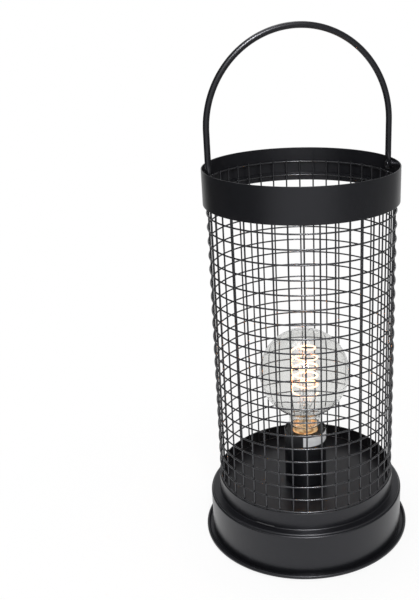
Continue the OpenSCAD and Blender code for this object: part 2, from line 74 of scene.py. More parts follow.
def arc(x: float, z: float, r: float, start: float, end: float, steps: int) -> list[Pair]:
    """Points of an arc in the plane of a profile.

    Args:
        x, z: The arc's centre.
        r: Its radius.
        start, end: Its angles in degrees, counter-clockwise from +x.
        steps: How many chords it has.

    Returns:
        The points, both ends with them.
    """
    angles = (math.radians(start + (end - start) * i / steps) for i in range(steps + 1))
    return [(x + r * math.cos(a), z + r * math.sin(a)) for a in angles]


def polar(r: float, a: float, z: float) -> Vector:
    """The point at a radius, an angle in radians and a height."""
    return Vector((r * math.cos(a), r * math.sin(a), z))


def ease(t: float) -> float:
    """A smooth step from 0 to 1."""
    t = min(1.0, max(0.0, t))
    return t * t * (3 - 2 * t)


def cut_groove(phase: float) -> float:
    """How deep a cut thread is at a phase: 0 at its crest and 1 at its root."""
    return 1 - abs(phase % 1.0 - 0.5) * 2


def rolled_groove(phase: float) -> float:
    """How deep a rolled thread is at a phase: 0 at its crest and 1 at its root."""
    return 0.5 - 0.5 * math.cos(2 * math.pi * phase)


def rgba(colour: Colour) -> Rgba:
    """A colour with full alpha."""
    return (*colour, 1.0)


def put(name: str, data: bpy.types.ID) -> bpy.types.Object:
    """Adds an object to the scene.

    Args:
        name: Its name.
        data: Its mesh, light or camera.

    Returns:
        The object.
    """
    made = bpy.data.objects.new(name, data)
    bpy.context.scene.collection.objects.link(made)
    return made


def smooth(mesh: bpy.types.Mesh, sharp: float) -> bpy.types.Mesh:
    """Shades a mesh smooth, but for the edges past an angle.

    Args:
        mesh: The mesh.
        sharp: That angle in degrees.

    Returns:
        The same mesh.
    """
    mesh.shade_smooth()
    mesh.set_sharp_from_angle(angle=math.radians(sharp))
    return mesh


def add_node(tree: bpy.types.NodeTree, kind: str, settings: Settings, inputs: Inputs) -> bpy.types.Node:
    """Adds one node to a tree.

    Args:
        tree: The tree.
        kind: The node's type.
        settings: Its properties, which are set first.
        inputs: The values or links of its sockets, by name or index. Each part of a list is one link.

    Returns:
        The node.
    """
    made = tree.nodes.new(kind)
    for key, value in settings.items():
        setattr(made, key, value)
    for key, value in inputs.items():
        for part in value if isinstance(value, list) else [value]:
            if isinstance(part, Socket):
                tree.links.new(part, made.inputs[key])
            else:
                made.inputs[key].default_value = part
    return made


# ---- Finishes ----


class Wave(Enum):
    """The kinds of streak on a surface, each with its stretch round and along the upright axis."""

    NONE = (0.0, 0.0)
    ROUND = (0.35, 2.6)
    ALONG = (6.0, 0.2)


class Value:
    """A shader value whose arithmetic adds Math nodes to its tree."""

    def __init__(self, maker: "Shader", socket: Socket) -> None:
        """Wraps one output socket."""
        self.maker = maker
        self.socket = socket

    def math(self, operation: str, *values: "Value | float") -> "Value":
        """A Math node of this value and the others."""
        return self.maker.maths(operation, self, *values)

    def __add__(self, other: "Value | float") -> "Value":
        """self + other."""
        return self.math("ADD", other)

    def __sub__(self, other: "Value | float") -> "Value":
        """self - other."""
        return self.math("SUBTRACT", other)

    def __rsub__(self, other: float) -> "Value":
        """other - self."""
        return self.maker.maths("SUBTRACT", other, self)

    def __mul__(self, other: "Value | float") -> "Value":
        """self * other."""
        return self.math("MULTIPLY", other)

    __radd__ = __add__
    __rmul__ = __mul__


def weigh(parts: Sequence[Value | float], shares: Sequence[float]) -> Value:
    """The sum of some values, each times its share."""
    return reduce(lambda a, b: a + b, (part * share for part, share in zip(parts, shares)))


class Shader:
    """The node tree of a material or of the world, built from Python expressions."""

    def __init__(self, owner: Shaded) -> None:
        """Starts an empty tree.

        Args:
            owner: The material or world that it belongs to.
        """
        self.owner = owner
        owner.use_nodes = True
        self.tree = owner.node_tree
        self.tree.nodes.clear()

    @staticmethod
    def named(name: str) -> "Shader":
        """Starts a new material of that name."""
        return Shader(bpy.data.materials.new(name))

    def node(self, kind: str, settings: Settings, inputs: Inputs, output: int | str = 0) -> Value:
        """Adds one node.

        Args:
            kind: The node's type.
            settings: Its properties, which are set first.
            inputs: The values or links of its sockets, by name or index.
            output: Which output the result is.

        Returns:
            That output.
        """
        plain = {key: value.socket if isinstance(value, Value) else value for key, value in inputs.items()}
        return Value(self, add_node(self.tree, kind, settings, plain).outputs[output])

    def maths(self, operation: str, *values: Value | float) -> Value:
        """A Math node of those values."""
        return self.node("ShaderNodeMath", {"operation": operation}, dict(enumerate(values)))

    def place(self, output: str = "Object") -> Value:
        """The object's own coordinates, or another kind of them."""
        return self.node("ShaderNodeTexCoord", {}, {}, output)

    def split(self, vector: Value) -> tuple[Value, Value, Value]:
        """The x, y and z of a vector."""
        outputs = self.node("ShaderNodeSeparateXYZ", {}, {0: vector}).socket.node.outputs
        return Value(self, outputs[0]), Value(self, outputs[1]), Value(self, outputs[2])

    def noise(self, where: Value, scale: float, detail: float = 2.0) -> Value:
        """A noise from 0 to 1, of that many features in a metre."""
        return self.node("ShaderNodeTexNoise", {}, {"Vector": where, "Scale": scale, "Detail": detail})

    def mix(self, share: Value, a: Rgba, b: Rgba) -> Value:
        """A colour between a and b."""
        return self.node("ShaderNodeMix", {"data_type": "RGBA"}, {0: share, 6: a, 7: b}, 2)

    def blend(self, share: Value | float, a: Value, b: Value) -> Value:
        """A surface between the surfaces a and b."""
        return self.node("ShaderNodeMixShader", {}, {0: share, 1: a, 2: b})

    def ramp(self, value: Value, span: Pair) -> Value:
        """A smooth step from 0 where the value is at the span's first end to 1 at its second."""
        sizes = {"Value": value, "From Min": span[0], "From Max": span[1]}
        return self.node("ShaderNodeMapRange", {"interpolation_type": "SMOOTHSTEP"}, sizes)

    def rays(self, *kinds: str) -> Value:
        """1 for rays of some kinds and 0 for others.

        Args:
            kinds: The kinds' names, as the Light Path node has them.

        Returns:
            That value.
        """
        path = self.node("ShaderNodeLightPath", {}, {}).socket.node
        found = [Value(self, path.outputs[f"Is {kind} Ray"]) for kind in kinds]
        return reduce(lambda a, b: a.math("MAXIMUM", b), found)

    def bump(self, height: Value, distance: float, strength: float) -> Value:
        """A normal that follows a height, of which 1 stands up that many metres."""
        return self.node("ShaderNodeBump", {}, {"Height": height, "Distance": distance, "Strength": strength})

    def end(self, surface: Value, kind: str = "ShaderNodeOutputMaterial") -> Shaded:
        """Ends the tree in that surface."""
        add_node(self.tree, kind, {}, {"Surface": surface.socket})
        return self.owner

    def finish(self, inputs: Inputs) -> Shaded:
        """Ends the tree in a Principled BSDF with those inputs."""
        return self.end(self.node("ShaderNodeBsdfPrincipled", {}, inputs))


@dataclass(frozen=True)
class Finish:
    """A finish, with the name of its material and the record's slot that it goes by."""

    name: str
    slot: str

    @cache
    def material(self) -> bpy.types.Material:
        """The finish's material, built when it is first asked for."""
        return self.build(Shader.named(self.name))

    def build(self, made: Shader) -> bpy.types.Material:
        """Builds the finish in an empty tree."""
        raise NotImplementedError


@dataclass(frozen=True)
class Coating(Finish):
    """An opaque finish: paint, plating, metal, moulding or rubber, with grain and streaks, and with a painted
    glow where lit is above 0.
    """

    colour: Colour
    second: Colour
    roughness: float
    spread: float = 0.1
    metallic: float = 0.0
    grain: float = 900.0
    relief: float = 0.02 * MM
    wave: Wave = Wave.NONE
    coat: float = 0.0
    coat_roughness: float = 0.2
    shine: float = 0.5
    tint: Colour = WHITE
    bump: float = 0.6
    clouds: float = 26.0
    streaks: float = 260.0
    # Strength and patches of a painted glow: emission that stands for the filament's light reflected in the
    # finish
    lit: float = 0.0
    patches: float = 210.0
    patch_span: Pair = (0.36, 0.62)
    patch_dark: float = 0.3

    def streak(self, made: Shader, where: Value) -> Value | float:
        """How strong the streaks are, from 0 to 1.

        Args:
            made: The finish's tree.
            where: The coordinates.

        Returns:
            That value, or its middle where the finish has no streaks.
        """
        if self.wave is Wave.NONE:
            return 0.5
        around, along = self.wave.value
        x, y, z = made.split(where)
        turn = y.math("ARCTAN2", x)
        line = made.node("ShaderNodeCombineXYZ", {}, {0: turn * around, 1: 0.0, 2: z * along})
        return made.noise(line, self.streaks, detail=3.0)

    def light(self, made: Shader, where: Value) -> Value:
        """The painted glow of a finish: a colour it gives off in patches, as a painted reflection of the
        filament.

        Args:
            made: The finish's tree.
            where: The coordinates.

        Returns:
            The colour.
        """
        patch = made.ramp(made.noise(where, self.patches), self.patch_span)
        dark = tuple(self.patch_dark * part for part in self.colour)
        return made.mix(patch, rgba(dark), rgba(self.second))

    def build(self, made: Shader) -> bpy.types.Material:
        """Builds the coating.

        Args:
            made: The empty tree.

        Returns:
            The material.
        """
        where = made.place()
        grain = made.noise(where, self.grain)
        cloud = made.noise(where, self.clouds, detail=3.0)
        streak = self.streak(made, where)
        tone = weigh((cloud, grain), CLOUD_AND_GRAIN)
        uneven = weigh((grain, cloud, streak), GRAIN_CLOUD_AND_STREAK) - 0.5
        height = weigh((grain, streak), GRAIN_AND_STREAK)
        return made.finish(
            {
                "Base Color": made.mix(tone, rgba(self.colour), rgba(self.second)),
                "Roughness": self.roughness + self.spread * uneven,
                "Metallic": self.metallic,
                "Specular IOR Level": self.shine,
                "Specular Tint": rgba(self.tint),
                "Coat Weight": self.coat,
                "Coat Roughness": self.coat_roughness,
                "Normal": made.bump(height, self.relief, self.bump),
                # A painted glow where lit is above 0: a painted reflection of the filament
                "Emission Color": self.light(made, where) if self.lit else rgba(self.colour),
                "Emission Strength": self.lit,
            }
        )


@dataclass(frozen=True)
class Glass(Finish):
    """Clear blown glass that lets the light of lamps pass straight through."""

    colour: Colour
    ior: float = 1.45

    def build(self, made: Shader) -> bpy.types.Material:
        """Builds the glass.

        Args:
            made: The empty tree.

        Returns:
            The material.
        """
        colour = rgba(self.colour)
        looks = {"Base Color": colour, "Roughness": 0.0, "IOR": self.ior, "Transmission Weight": 1.0}
        glass = made.node("ShaderNodeBsdfPrincipled", {}, looks)
        clear = made.node("ShaderNodeBsdfTransparent", {}, {"Color": colour})
        return made.end(made.blend(made.rays("Shadow", "Diffuse"), glass, clear))


@dataclass(frozen=True)
class Glow(Finish):
    """A filament that shines, a little hotter in patches along its length."""

    colour: Colour
    hot: Colour
    strength: float
    roughness: float = 0.6
    patches: float = 120.0

    def build(self, made: Shader) -> bpy.types.Material:
        """Builds the glow.

        Args:
            made: The empty tree.

        Returns:
            The material.
        """
        patch = made.noise(made.place(), self.patches, detail=1.0)
        light = made.mix(patch, rgba(self.colour), rgba(self.hot))
        looks = {"Base Color": light, "Roughness": self.roughness, "Emission Color": light}
        return made.finish({**looks, "Emission Strength": self.strength})


@dataclass(frozen=True)
class Sticker(Finish):
    """A plain silvery film."""

    colour: Colour
    edge: Colour
    roughness: float = 0.34
    spread: float = 0.14
    metallic: float = 0.35
    clouds: float = 60.0
    grain: float = 1800.0
    relief: float = 0.03 * MM
    bump: float = 0.5

    def build(self, made: Shader) -> bpy.types.Material:
        """Builds the film.

        Args:
            made: The empty tree.

        Returns:
            The material.
        """
        where = made.place()
        cloud = made.noise(where, self.clouds)
        grain = made.noise(where, self.grain)
        height = weigh((cloud, grain), FILM_CLOUD_AND_GRAIN)
        return made.finish(
            {
                "Base Color": made.mix(cloud, rgba(self.colour), rgba(self.edge)),
                "Roughness": self.roughness + self.spread * grain,
                "Metallic": self.metallic,
                "Normal": made.bump(height, self.relief, self.bump),
            }
        )


@dataclass(frozen=True)
class Finishes:
    """All the finishes of the lamp."""

    paint: Finish = Coating(
        "satin_black_paint", "black_paint", (0.0046, 0.0048, 0.006), (0.0086, 0.009, 0.011), 0.31, 0.14,
        grain=700.0, relief=0.09 * MM, wave=Wave.ROUND, shine=0.44, tint=(0.94, 0.94, 1.0),
    )
    wire_paint: Finish = Coating(
        "black_wire_paint", "black_paint", (0.006, 0.006, 0.007), (0.014, 0.014, 0.016), 0.26,
        wave=Wave.ALONG, shine=0.8, tint=(0.92, 0.94, 1.0),
    )
    # A lighter grey that is a painted highlight: it stands for a glint in the collar's groove
    painted_glint: Finish = Coating("scuffed_paint", "black_paint", (0.035, 0.035, 0.038), (0.06, 0.06, 0.064), 0.5)
    zinc: Finish = Coating(
        "zinc_plating", "zinc", (0.52, 0.53, 0.55), (0.68, 0.68, 0.67), 0.32, 0.14, metallic=1.0, grain=500.0
    )
    dull_zinc: Finish = Coating(
        "blackened_zinc", "zinc", (0.05, 0.05, 0.055), (0.1, 0.1, 0.11), 0.38, 0.16, metallic=1.0, grain=500.0
    )
    steel_wire: Finish = Coating(
        "bright_wire", "lead_wire", (0.42, 0.41, 0.4), (0.56, 0.55, 0.54), 0.3, metallic=1.0, grain=700.0
    )
    brass: Finish = Coating(
        "brass_sheet", "brass", (0.75, 0.5, 0.2), (0.9, 0.66, 0.34), 0.24, 0.12,
        metallic=1.0, grain=600.0, wave=Wave.ROUND,
    )
    # Cap brass with a painted glow: emission that stands for the filament's light reflected in the brass
    glow_painted_brass: Finish = Coating(
        "lit_cap_brass", "cap_brass", (0.86, 0.5, 0.2), (1.0, 0.68, 0.38), 0.34, 0.14,
        metallic=1.0, grain=600.0, lit=0.6,
    )
    moulding: Finish = Coating(
        "moulded_insulator", "black_moulding", (0.004, 0.004, 0.004), (0.008, 0.008, 0.008), 0.45,
        grain=1500.0, relief=0.01 * MM, shine=0.25,
    )
    rubber: Finish = Coating(
        "black_rubber", "rubber", (0.02, 0.02, 0.02), (0.035, 0.034, 0.033), 0.75, 0.12, grain=1300.0
    )
    black_glass: Finish = Coating(
        "black_cap_glass", "black_glass", (0.008, 0.006, 0.01), (0.016, 0.012, 0.02), 0.12, 0.06,
        relief=0.01 * MM, coat=0.4,
    )
    solder: Finish = Coating(
        "soft_solder", "solder", (0.5, 0.5, 0.51), (0.66, 0.66, 0.66), 0.36, 0.16, metallic=1.0, grain=400.0
    )
    glass: Finish = Glass("blown_glass", "clear_glass", (0.87, 0.87, 0.86))
    stem_glass: Finish = Glass("drawn_glass", "clear_glass", (0.95, 0.955, 0.95))
    glow: Finish = Glow("glowing_filament", "filament", (1.0, 0.52, 0.31), (1.0, 0.74, 0.58), 1.8)
    sticker: Finish = Sticker("blank_silver_label", "label", (0.72, 0.73, 0.75), (0.86, 0.87, 0.88))


# ---- Shapes ----


@dataclass
class Form:
    """Points and faces on their way to becoming a mesh."""

    points: list[Vector] = field(default_factory=list)
    faces: list[tuple[int, ...]] = field(default_factory=list)

    def add(self, other: "Form", matrix: Matrix = IN_PLACE) -> "Form":
        """Adds another form to this one.

        Args:
            other: What is added.
            matrix: How it is moved and turned.

        Returns:
            This form.
        """
        start = len(self.points)
        self.points += [matrix @ p for p in other.points]
        self.faces += [tuple(start + i for i in face) for face in other.faces]
        return self

    def mesh(self, name: str, sharp: float) -> bpy.types.Mesh:
        """Makes a smooth-shaded mesh whose edges past an angle stay sharp.

        Args:
            name: The mesh's name.
            sharp: That angle in degrees.

        Returns:
            The mesh.
        """
        made = bpy.data.meshes.new(name)
        made.from_pydata([tuple(p) for p in self.points], [], self.faces)
        made.validate()
        return smooth(made, sharp)

    @staticmethod
    def rings(rings: Sequence[Sequence[Vector]], closed: bool = False) -> "Form":
        """Joins rings of points, each with as many points, into a skin.

        Args:
            rings: The rings in order, counter-clockwise seen from ahead.
            closed: Whether the last ring joins the first. The ends are capped if not.

        Returns:
            The skin.
        """
        form = Form([point for ring in rings for point in ring])
        sides, count = len(rings[0]), len(rings)
        for i in range(count if closed else count - 1):
            a, b = i * sides, (i + 1) % count * sides
            for k in range(sides):
                m = (k + 1) % sides
                form.faces.append((a + k, a + m, b + m, b + k))
        if not closed:
            form.faces.append(tuple(reversed(range(sides))))
            form.faces.append(tuple(range((count - 1) * sides, count * sides)))
        return form

    @staticmethod
    def lathe(profile: Sequence[Pair], steps: int) -> "Form":
        """Turns a closed profile about Z.

        Args:
            profile: Points (radius, height), counter-clockwise. A radius of 0 becomes a pole.
            steps: How many sides the turned form has.

        Returns:
            The turned form.
        """
        form = Form()
        index: list[list[int]] = []
        for r, z in profile:
            start = len(form.points)
            if r < POLE:
                form.points.append(Vector((0, 0, z)))
                index.append([start] * steps)
            else:
                form.points += [polar(r, 2 * math.pi * k / steps, z) for k in range(steps)]
                index.append(list(range(start, start + steps)))
        for i, low in enumerate(index):
            high = index[(i + 1) % len(index)]
            for k in range(steps):
                m = (k + 1) % steps
                face = tuple(dict.fromkeys((low[k], low[m], high[m], high[k])))
                if len(face) > 2:
                    form.faces.append(face)
        return form

    @staticmethod
    def tube(path: Sequence[Vector], radius: float | Callable[[float], float], sides: int) -> "Form":
        """A round tube along a path.

        Args:
            path: The points of its middle line.
            radius: Its radius, or a rule that gives it for a share of the path from 0 to 1.
            sides: How many sides it has.

        Returns:
            The tube, closed at both ends.
        """
        last = len(path) - 1
        rings = []
        side = None
        for i, p in enumerate(path):
            way = (path[min(i + 1, last)] - path[max(i - 1, 0)]).normalized()
            if side is None:
                side = way.cross(Vector((0, 0, 1)) if abs(way.z) < 0.9 else Vector((1, 0, 0))).normalized()
            side = (side - way * side.dot(way)).normalized()
            up = way.cross(side)
            r = radius(i / last) if callable(radius) else radius
            angles = [2 * math.pi * k / sides for k in range(sides)]
            rings.append([p + r * (math.cos(a) * side + math.sin(a) * up) for a in angles])
        return Form.rings(rings)

    @staticmethod
    def screw(
        skins: Sequence[Callable[[float, float], float]], low: float, high: float, pitch: float, sides: int
    ) -> "Form":
        """A closed sleeve whose two walls may carry a thread.

        Args:
            skins: The outer and the inner wall, each a rule from (height, phase) to a radius.
            low, high: The two ends of the sleeve.
            pitch: The rise of the thread in one turn, right-handed.
            sides: How many sides the sleeve has.

        Returns:
            The sleeve.
        """
        rows = int((high - low) / pitch * TURN_ROWS)
        rings = []
        for skin, heights in zip(skins, (range(rows + 1), range(rows, -1, -1))):
            for j in heights:
                z = low + (high - low) * j / rows
                turns = [k / sides for k in range(sides)]
                rings.append([polar(skin(z, z / pitch - turn), 2 * math.pi * turn, z) for turn in turns])
        return Form.rings(rings, closed=True)


class Growth:
    """A Geometry Nodes tree that repeats a small form, with named inputs for its sizes."""

    def __init__(self, name: str) -> None:
        """Starts an empty tree.

        Args:
            name: Its name.
        """
        self.tree = bpy.data.node_groups.new(name, "GeometryNodeTree")
        self.tree.interface.new_socket("Geometry", in_out="OUTPUT", socket_type="NodeSocketGeometry")
        self.entry = self.tree.nodes.new("NodeGroupInput")
        self.values: dict[str, object] = {}

    def size(self, name: str, value: object, kind: str = "NodeSocketFloat") -> Socket:
        """Adds a named input.

        Args:
            name: The input's name.
            value: Its value.
            kind: Its socket's type.

        Returns:
            The socket that gives the value inside the tree.
        """
        made = self.tree.interface.new_socket(name, in_out="INPUT", socket_type=kind)
        self.values[made.identifier] = value
        return next(s for s in self.entry.outputs if s.identifier == made.identifier)

    def node(self, kind: str, inputs: Inputs, output: int | str = 0) -> Socket:
        """Adds one node and gives that output of it."""
        return add_node(self.tree, kind, {}, inputs).outputs[output]

    def wire(self, curve: Socket, radius: Socket, sides: int) -> Socket:
        """A round wire along a curve.

        Args:
            curve: Its middle line.
            radius: Its radius.
            sides: How many sides it has.

        Returns:
            The wire, with closed ends.
        """
        section = self.node("GeometryNodeCurvePrimitiveCircle", {"Resolution": sides, "Radius": radius})
        ends = {"Curve": curve, "Profile Curve": section, "Fill Caps": True}
        return self.node("GeometryNodeCurveToMesh", ends)

    def column(self, count: Socket, low: float, step: float) -> Socket:
        """So many points on the upright axis, from a height up in equal steps."""
        sizes = {"Count": count, "Start Location": (0, 0, low), "Offset": (0, 0, step)}
        return self.node("GeometryNodeMeshLine", sizes)

    def moved(self, part: Socket, **moves: Point) -> Socket:
        """A geometry with a Translation, a Rotation or a Scale."""
        return self.node("GeometryNodeTransform", {0: part, **moves})

    def spread(self, points: Socket, part: Socket) -> Socket:
        """A geometry at each of the points."""
        return self.node("GeometryNodeInstanceOnPoints", {"Points": points, "Instance": part})

    def joined(self, parts: list[Socket]) -> Socket:
        """Several geometries as one."""
        return self.node("GeometryNodeJoinGeometry", {0: parts})

    def real(self, part: Socket) -> Socket:
        """A geometry with its instances made real."""
        return self.node("GeometryNodeRealizeInstances", {0: part})

    def mesh(self, name: str, result: Socket, finish: Finish, sharp: float) -> bpy.types.Mesh:
        """Ends the tree and turns its result into a plain mesh.

        Args:
            name: The mesh's name.
            result: The geometry that the tree made.
            finish: The finish that the tree sets.
            sharp: The angle in degrees past which an edge stays sharp.

        Returns:
            The mesh.
        """
        looks = {"Geometry": self.real(result), "Material": finish.material()}
        dressed = self.node("GeometryNodeSetMaterial", looks)
        add_node(self.tree, "NodeGroupOutput", {}, {0: dressed})
        holder = put(name, bpy.data.meshes.new(name))
        change = holder.modifiers.new("grow", "NODES")
        change.node_group = self.tree
        for key, value in self.values.items():
            change[key] = value
        graph = bpy.context.evaluated_depsgraph_get()
        made = bpy.data.meshes.new_from_object(holder.evaluated_get(graph))
        holder.modifiers.remove(change)
        bpy.data.objects.remove(holder)
        return smooth(made, sharp)


@dataclass(frozen=True)
class Ring:
    """Places spread evenly on a circle round the upright axis, its turn in degrees."""

    count: int
    radius: float
    turn: float
    height: float = 0.0

    def repeat(self, name: str, one: Form, finish: Finish, sharp: float) -> bpy.types.Mesh:
        """Puts a small form at each of the places.

        Args:
            name: The name of the mesh and of its tree.
            one: The form, which stands on its own origin.
            finish: Its finish.
            sharp: The angle in degrees past which an edge stays sharp.

        Returns:
            All of them as one mesh.
        """
        tree = Growth(name)
        radius = tree.size("Ring radius", self.radius)
        circle = tree.node("GeometryNodeMeshCircle", {"Vertices": self.count, "Radius": radius})
        turn, lift = (0, 0, math.radians(self.turn)), (0, 0, self.height)
        sample = put("sample", one.mesh("sample", sharp))
        form = tree.node("GeometryNodeObjectInfo", {"Object": sample}, "Geometry")
        spread = tree.spread(tree.moved(circle, Rotation=turn, Translation=lift), form)
        mesh = tree.mesh(name, spread, finish, sharp)
        bpy.data.objects.remove(sample)
        return mesh

    def names(self, stem: str) -> list[str]:
        """The names of nodes that stand at the places, counted from 1."""
        return [f"{stem}_{i + 1}" for i in range(self.count)]


# ---- The lamp ----


@dataclass
class Part:
    """A sub-assembly of the lamp, which makes its own pieces and dresses the model's nodes."""

    looks: Finishes

    def piece(
        self,
        name: str,
        shape: Form | bpy.types.Mesh,
        body: str,
        finish: Finish,
        nodes: Sequence[str] = (),
        sharp: float = 60.0,
    ) -> None:
        """Makes a piece that rides on a body.

        Args:
            name: The piece's name.
            shape: Its form or its finished mesh, already in place.
            body: The body that it rides on.
            finish: Its finish.
            nodes: The nodes that it stands for.
            sharp: The angle in degrees past which an edge of a form stays sharp.
        """
        mesh = shape.mesh(name, sharp) if isinstance(shape, Form) else shape
        made = put(name, mesh)
        mesh.materials.clear()
        mesh.materials.append(finish.material())
        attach(made, body)
        if nodes:
            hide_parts(*nodes)
        LOG.info("%s: %d faces on %s", name, len(mesh.polygons), body)

    def dress(self, finish: Finish, *nodes: str) -> None:
        """Gives some of the model's own nodes a finish.

        Args:
            finish: The finish.
            nodes: The nodes' names.
        """
        for node in nodes:
            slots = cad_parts[node].data.materials
            slots.clear()
            slots.append(finish.material())
            LOG.info("%s: dressed in %s", node, finish.name)

    def build(self) -> None:
        """Builds the pieces and dresses the nodes of this sub-assembly."""
        raise NotImplementedError


@dataclass
class Base(Part):
    """The spun base with its floor, tray, feet, screws and cord bushing."""

    feet: Ring = Ring(4, 97 * MM, 45.0)
    foot_r: float = 7 * MM
    foot_h: float = 1 * MM
    foot_edge: float = 0.35 * MM
    hollow_h: float = 0.2 * MM
    hollow_in: float = 3.85 * MM
    hollow_out: float = 4.34 * MM
    screws: Ring = Ring(3, 91.8 * MM, 30.0, 2.8 * MM)
    screw_r: float = 1.75 * MM
    screw_len: float = 9 * MM
    screw_pitch: float = 1.3 * MM
    screw_depth: float = 0.42 * MM
    screw_power: float = 0.8
    screw_core: float = 0.35 * MM
    point_h: float = 1.2 * MM
    point_share: float = 0.55
    head_r: float = 3.5 * MM
    head_h: float = 1.6 * MM
    head_edge: float = 0.7 * MM
    recess_z: float = 0.72 * MM
    recess_in: float = 0.9625 * MM
    recess_out: float = 1.4 * MM
    bead_ring: float = 94.8 * MM
    bead_z: float = 50.1 * MM
    bead_r: float = 0.6 * MM
    bead_from: float = -123.0
    bead_to: float = -110.0
    bead_end: float = 0.25
    bead_swell: float = 6.0
    bead_chords: int = 24

    def rubber_feet(self) -> None:
        """The rubber feet, each with a rounded lower edge and a shallow hollow in its underside."""
        r, h, e = self.foot_r, self.foot_h, self.foot_edge
        hollow = [(0, self.hollow_h), (self.hollow_in, self.hollow_h), (self.hollow_out, 0)]
        pad = Form.lathe([*hollow, *arc(r - e, e, e, 270, 360, steps=4), (r, h), (0, h)], steps=40)
        mesh = self.feet.repeat("rubber_feet", pad, self.looks.rubber, sharp=40)
        self.piece("rubber_feet", mesh, "base", self.looks.rubber, self.feet.names("foot"))

    def crest(self, z: float, phase: float) -> float:
        """The radius of a screw's thread at a height over its head.

        Args:
            z: The height.
            phase: The phase of the thread.

        Returns:
            The radius.
        """
        depth = self.screw_depth * cut_groove(phase) ** self.screw_power
        end = ease((self.screw_len - z) / self.point_h)
        return (self.screw_r - depth) * (self.point_share + (1 - self.point_share) * end)

    def tray_screws(self) -> None:
        """The pan-head screws that hold the tray, heads down, each with a cut thread and a point."""
        r, h, e = self.head_r, self.head_h, self.head_edge
        recess = [(0, -self.recess_z), (self.recess_in, -self.recess_z), (self.recess_out, -h)]
        one = Form.lathe([*recess, *arc(r - e, e - h, e, 270, 360, steps=5), (r, 0), (0, 0)], steps=36)
        skins = [self.crest, lambda z, phase: self.screw_core]
        one.add(Form.screw(skins, 0.0, self.screw_len, self.screw_pitch, sides=18))
        mesh = self.screws.repeat("tray_screws", one, self.looks.zinc, sharp=30)
        self.piece("tray_screws", mesh, "base", self.looks.zinc, self.screws.names("tray_screw"))

    def bead(self) -> None:
        """The short bead that tacks the collar to the shoulder, left of the front, in a lighter grey that is
        a painted highlight for a glint in the groove.
        """
        chords = self.bead_chords
        step = (self.bead_to - self.bead_from) / chords
        angles = [math.radians(self.bead_from + step * i) for i in range(chords + 1)]
        path = [polar(self.bead_ring, a, self.bead_z) for a in angles]

        def thickness(t: float) -> float:
            """The bead's radius at a share of its length, less at both ends."""
            return self.bead_r * min(1.0, self.bead_end + self.bead_swell * min(t, 1 - t))

        # Painted highlight: the bead's lighter grey stands for a glint in the groove
        self.piece("collar_bead", Form.tube(path, thickness, sides=10), "base", self.looks.painted_glint)

    def build(self) -> None:
        """Builds and dresses the base."""
        self.dress(self.looks.paint, "base_shell", "floor_plate", "bottom_tray")
        self.dress(self.looks.zinc, *self.screws.names("fixing_tab"))
        self.dress(self.looks.rubber, "cord_bushing")
        self.rubber_feet()
        self.tray_screws()
        self.bead()


